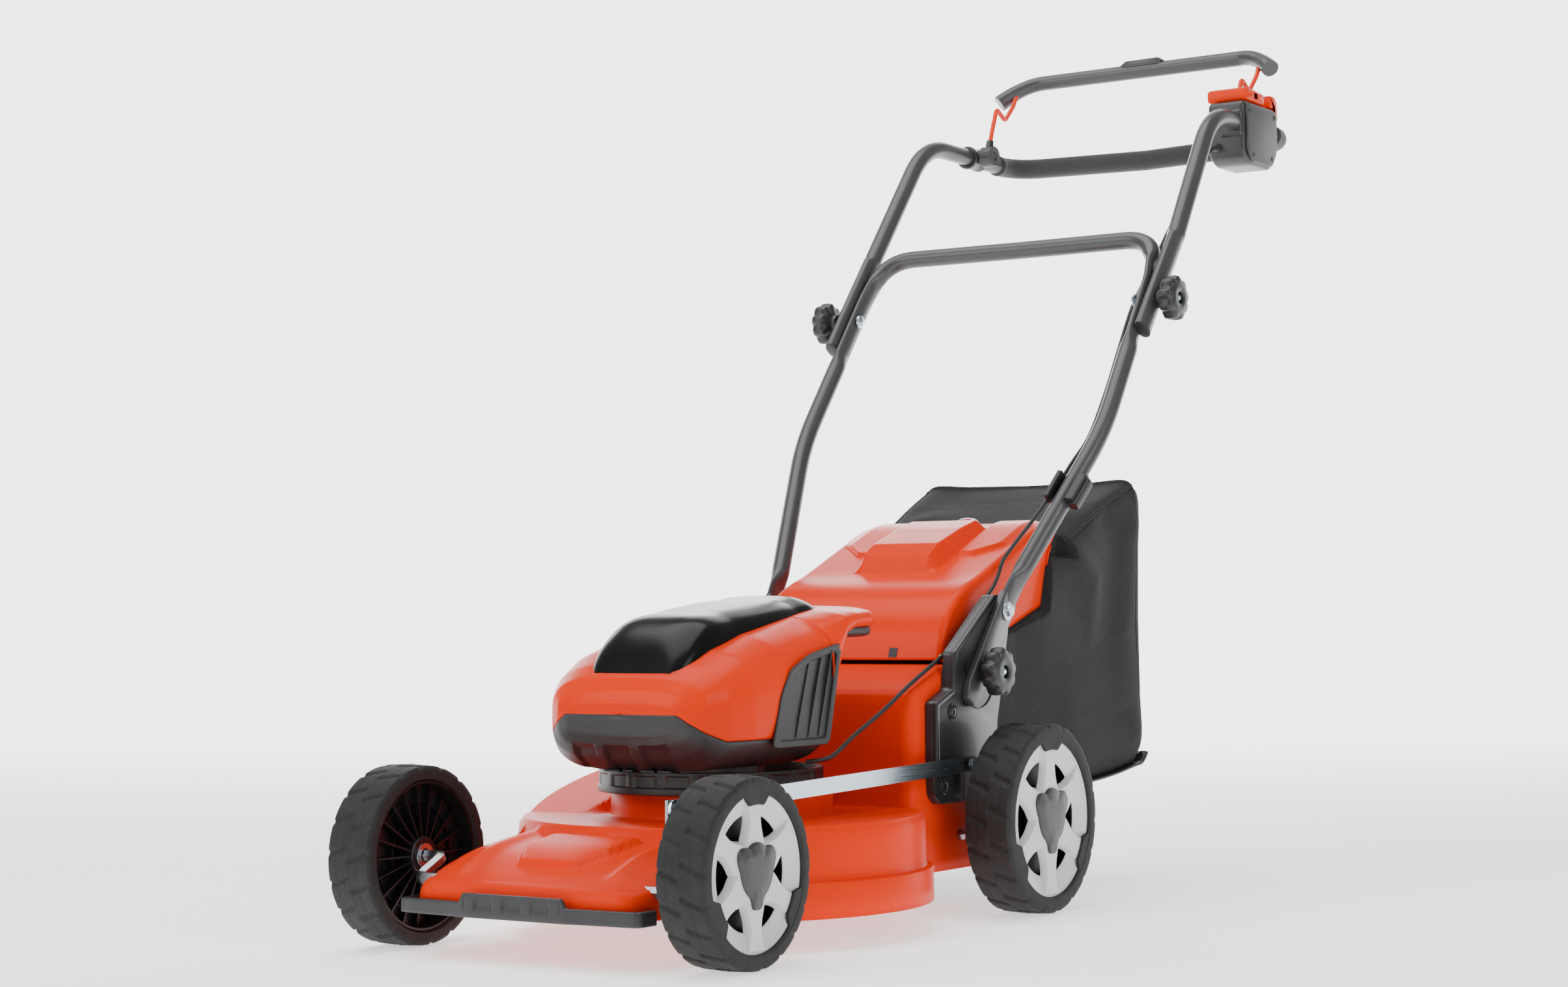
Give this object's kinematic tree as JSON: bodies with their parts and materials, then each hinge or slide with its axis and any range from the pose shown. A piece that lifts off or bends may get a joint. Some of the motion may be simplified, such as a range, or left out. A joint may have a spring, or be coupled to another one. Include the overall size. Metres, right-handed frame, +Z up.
{
  "type": "cordless lawn mower",
  "caption": "Battery walk-behind lawn mower: pressed deck, spoked wheels, folding tubular handle with bail, rear flap and fabric grass bag.",
  "frame": {"origin": "bottom centre of the whole mower's bounding box, on the ground", "axes": "+Z up, -Y is the mower's front, +X the user's left-hand side"},
  "size_m": [0.4898, 1.3526, 1.0439],
  "materials": {
    "orange_paint": "gloss",
    "orange_plastic": "gloss",
    "dark_plastic": "satin",
    "black_plastic": "satin",
    "gloss_black": "gloss",
    "grey_plastic": "satin",
    "tube_paint": "satin",
    "tyre_rubber": "matte",
    "zinc": "zinc-plated",
    "bare_steel": "satin",
    "aluminium": "as cast",
    "bag_cloth": "woven",
    "cable_rubber": "matte"
  },
  "bodies": {
    "chassis": {"deck_shell": "orange_paint", "front_bumper": "dark_plastic", "neck_ring": "black_plastic", "hood_base": "dark_plastic", "hood_shell": "orange_plastic", "side_grille_left": "black_plastic", "side_grille_right": "black_plastic", "battery_tray": "black_plastic", "controller": "aluminium", "motor_stator": "aluminium", "handle_bracket_left": "dark_plastic", "handle_bracket_right": "dark_plastic", "fold_bolt_left": "zinc", "fold_bolt_right": "zinc", "flap_rod": "zinc", "control_cable_deck": "cable_rubber"},
    "front_axle_set": {"front_axle": "bare_steel"},
    "rear_axle_set": {"rear_axle": "bare_steel"},
    "height_link": {"link_rod": "zinc"},
    "front_left_wheel": {"tyre_front_left": "tyre_rubber", "wheel_rim_front_left": "black_plastic", "wheel_cover_front_left": "grey_plastic"},
    "front_right_wheel": {"tyre_front_right": "tyre_rubber", "wheel_rim_front_right": "black_plastic", "wheel_cover_front_right": "grey_plastic"},
    "rear_left_wheel": {"tyre_rear_left": "tyre_rubber", "wheel_rim_rear_left": "black_plastic", "wheel_cover_rear_left": "grey_plastic"},
    "rear_right_wheel": {"tyre_rear_right": "tyre_rubber", "wheel_rim_rear_right": "black_plastic", "wheel_cover_rear_right": "grey_plastic"},
    "blade_set": {"motor_rotor": "bare_steel", "blade_adapter": "aluminium", "blade": "bare_steel", "blade_bolt": "zinc"},
    "lower_handle_set": {"lower_handle": "tube_paint", "upper_bolt_left": "zinc", "upper_bolt_right": "zinc", "cable_clip": "black_plastic", "control_cable_lower": "cable_rubber"},
    "upper_handle_set": {"upper_handle": "tube_paint", "handlebar_grip": "black_plastic", "switch_box": "gloss_black", "switch_cover": "black_plastic", "switch_cap": "orange_plastic", "bail_clamp": "black_plastic", "control_cable_upper": "cable_rubber"},
    "lower_left_knob": {"lower_knob_left": "black_plastic"},
    "lower_right_knob": {"lower_knob_right": "black_plastic"},
    "upper_left_knob": {"upper_knob_left": "black_plastic"},
    "upper_right_knob": {"upper_knob_right": "black_plastic"},
    "bail_set": {"bail_wire": "orange_paint", "bail_grip": "dark_plastic", "bail_hub": "dark_plastic"},
    "start_lever_body": {"start_lever": "orange_plastic"},
    "hatch": {"battery_hatch": "gloss_black"},
    "battery": {"battery_pack": "dark_plastic"},
    "flap": {"rear_flap": "orange_plastic"},
    "bag": {"bag_frame": "black_plastic", "grass_bag": "bag_cloth"}
  },
  "joints": [
    {"name": "front_axle_swing", "type": "hinge", "parent": "chassis", "child": "front_axle_set", "pos_m": [0, -0.625, 0.07], "axis": [1, 0, 0], "range_deg": [-34, 12]},
    {"name": "rear_axle_swing", "type": "hinge", "parent": "chassis", "child": "rear_axle_set", "pos_m": [0, -0.09, 0.0826], "axis": [1, 0, 0], "range_deg": [-34, 12]},
    {"name": "link_rod_hinge", "type": "hinge", "parent": "front_axle_set", "child": "height_link", "pos_m": [0.1532, -0.625, 0.145], "axis": [1, 0, 0], "range_deg": [-12, 34]},
    {"name": "front_left_wheel_spin", "type": "hinge", "parent": "front_axle_set", "child": "front_left_wheel", "pos_m": [0.1925, -0.589, 0.0874], "axis": [1, 0, 0], "continuous": true},
    {"name": "front_right_wheel_spin", "type": "hinge", "parent": "front_axle_set", "child": "front_right_wheel", "pos_m": [-0.1925, -0.589, 0.0874], "axis": [1, 0, 0], "continuous": true},
    {"name": "rear_left_wheel_spin", "type": "hinge", "parent": "rear_axle_set", "child": "rear_left_wheel", "pos_m": [0.204, -0.054, 0.1], "axis": [1, 0, 0], "continuous": true},
    {"name": "rear_right_wheel_spin", "type": "hinge", "parent": "rear_axle_set", "child": "rear_right_wheel", "pos_m": [-0.204, -0.054, 0.1], "axis": [1, 0, 0], "continuous": true},
    {"name": "blade_spin", "type": "hinge", "parent": "chassis", "child": "blade_set", "pos_m": [0, -0.331, 0.06], "axis": [0, 0, 1], "continuous": true},
    {"name": "lower_handle_fold", "type": "hinge", "parent": "chassis", "child": "lower_handle_set", "pos_m": [0, -0.016, 0.3174], "axis": [1, 0, 0], "range_deg": [0, 125]},
    {"name": "upper_handle_fold", "type": "hinge", "parent": "lower_handle_set", "child": "upper_handle_set", "pos_m": [0, 0.243, 0.6735], "axis": [1, 0, 0], "range_deg": [-100, 0]},
    {"name": "lower_left_knob_turn", "type": "hinge", "parent": "chassis", "child": "lower_left_knob", "pos_m": [0.17, -0.0685, 0.2535], "axis": [1, 0, 0], "continuous": true},
    {"name": "lower_right_knob_turn", "type": "hinge", "parent": "chassis", "child": "lower_right_knob", "pos_m": [-0.17, -0.0685, 0.2535], "axis": [1, 0, 0], "continuous": true},
    {"name": "upper_left_knob_turn", "type": "hinge", "parent": "lower_handle_set", "child": "upper_left_knob", "pos_m": [0.23, 0.243, 0.6735], "axis": [1, 0, 0], "continuous": true},
    {"name": "upper_right_knob_turn", "type": "hinge", "parent": "lower_handle_set", "child": "upper_right_knob", "pos_m": [-0.23, 0.243, 0.6735], "axis": [1, 0, 0], "continuous": true},
    {"name": "bail_pivot", "type": "hinge", "parent": "upper_handle_set", "child": "bail_set", "pos_m": [0, 0.551, 0.9175], "axis": [1, 0, 0], "range_deg": [-36, 0], "stiffness_Nm_per_rad": 1.6, "springref_deg": 34.38},
    {"name": "start_lever_press", "type": "hinge", "parent": "upper_handle_set", "child": "start_lever_body", "pos_m": [0.2, 0.589, 0.952], "axis": [1, 0, 0], "range_deg": [-12, 0], "stiffness_Nm_per_rad": 0.1, "springref_deg": 17.19},
    {"name": "battery_lift", "type": "slide", "parent": "chassis", "child": "battery", "axis": [0, 0, 1], "range_m": [0, 0.075]},
    {"name": "hatch_hinge", "type": "hinge", "parent": "chassis", "child": "hatch", "pos_m": [0, -0.477, 0.273], "axis": [1, 0, 0], "range_deg": [0, 90]},
    {"name": "flap_hinge", "type": "hinge", "parent": "chassis", "child": "flap", "pos_m": [0, -0.092, 0.2695], "axis": [1, 0, 0], "range_deg": [0, 75], "stiffness_Nm_per_rad": 0.6, "springref_deg": -22.92},
    {"name": "bag_slide", "type": "slide", "parent": "chassis", "child": "bag", "axis": [0, 1, 0], "range_m": [0, 0.15]}
  ],
  "couplings": [
    {"joint": "rear_axle_swing", "follows": "front_axle_swing", "ratio": 1},
    {"joint": "link_rod_hinge", "follows": "front_axle_swing", "ratio": -1},
    {"joint": "hatch_hinge", "follows": "battery_lift", "rad_per_m": 20.94}
  ]
}
